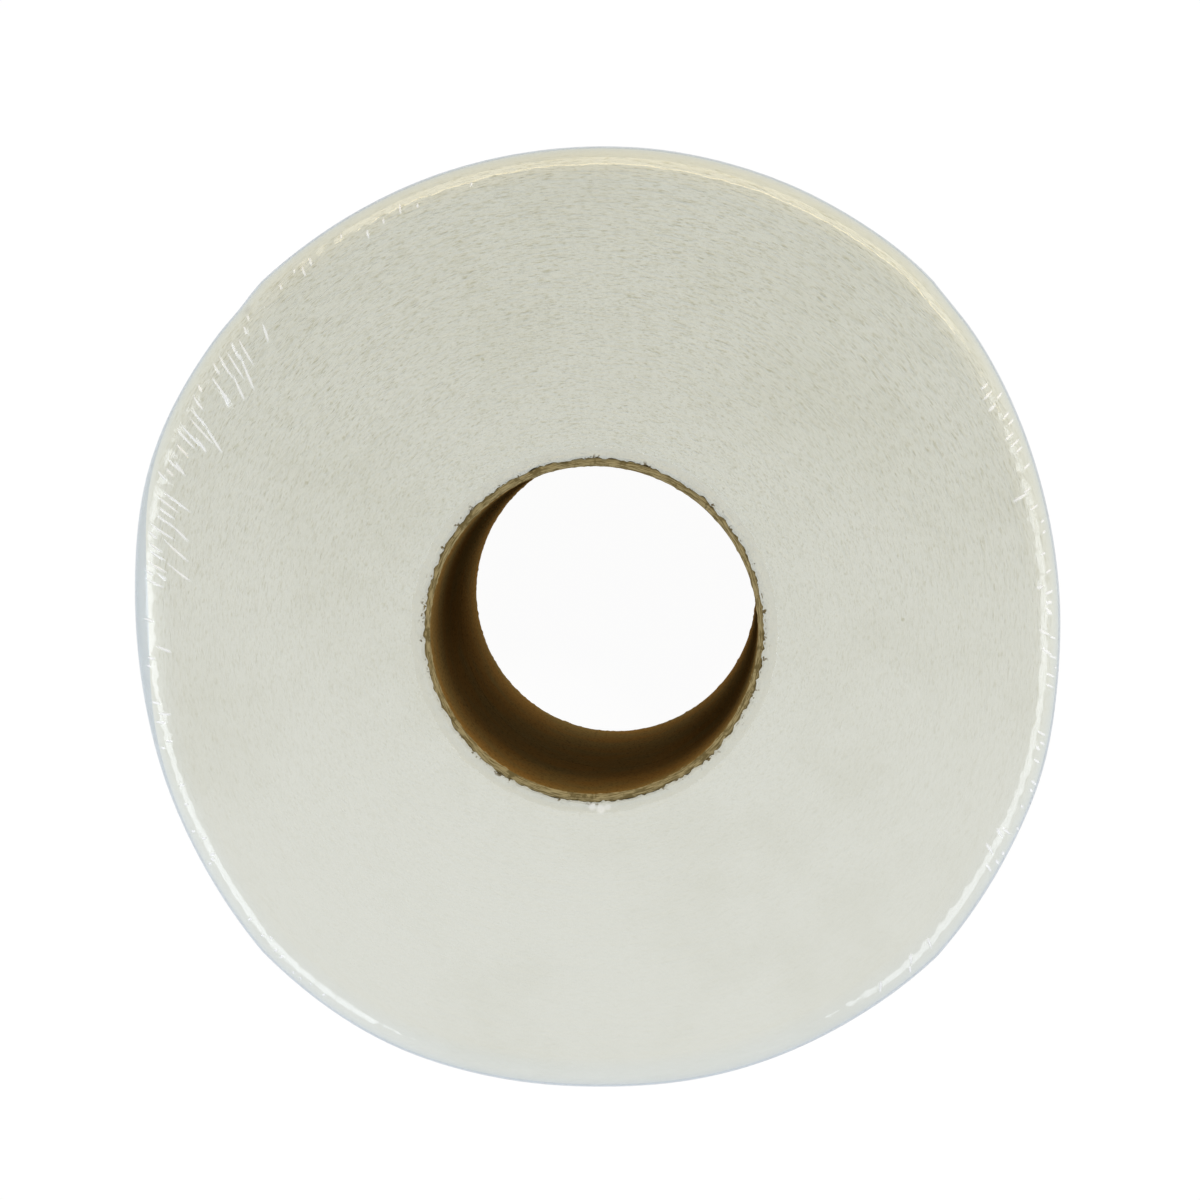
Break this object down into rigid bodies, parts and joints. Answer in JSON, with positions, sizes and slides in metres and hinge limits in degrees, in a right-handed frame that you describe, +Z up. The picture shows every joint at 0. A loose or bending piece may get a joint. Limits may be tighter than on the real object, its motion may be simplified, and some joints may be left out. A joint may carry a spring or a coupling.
{
  "type": "pack of jumbo toilet rolls",
  "caption": "Jumbo toilet rolls on cardboard cores, stacked end to end in a clear shrink film sleeve that is gathered over the shoulders and open over the bore.",
  "frame": {"origin": "centre of the base that the pack stands on", "axes": "+Z up, along the rolls' cores; +X to the right and +Y to the back of the standing pack"},
  "size_m": [0.2158, 0.2188, 0.1915],
  "materials": {
    "film": "clear glossy shrink film",
    "tissue": "soft matt off-white tissue",
    "cardboard": "matt brown board"
  },
  "bodies": {
    "root": {"film_wrap": "film", "upper_roll_paper": "tissue", "upper_core": "cardboard", "lower_roll_paper": "tissue", "lower_core": "cardboard"}
  },
  "joints": []
}
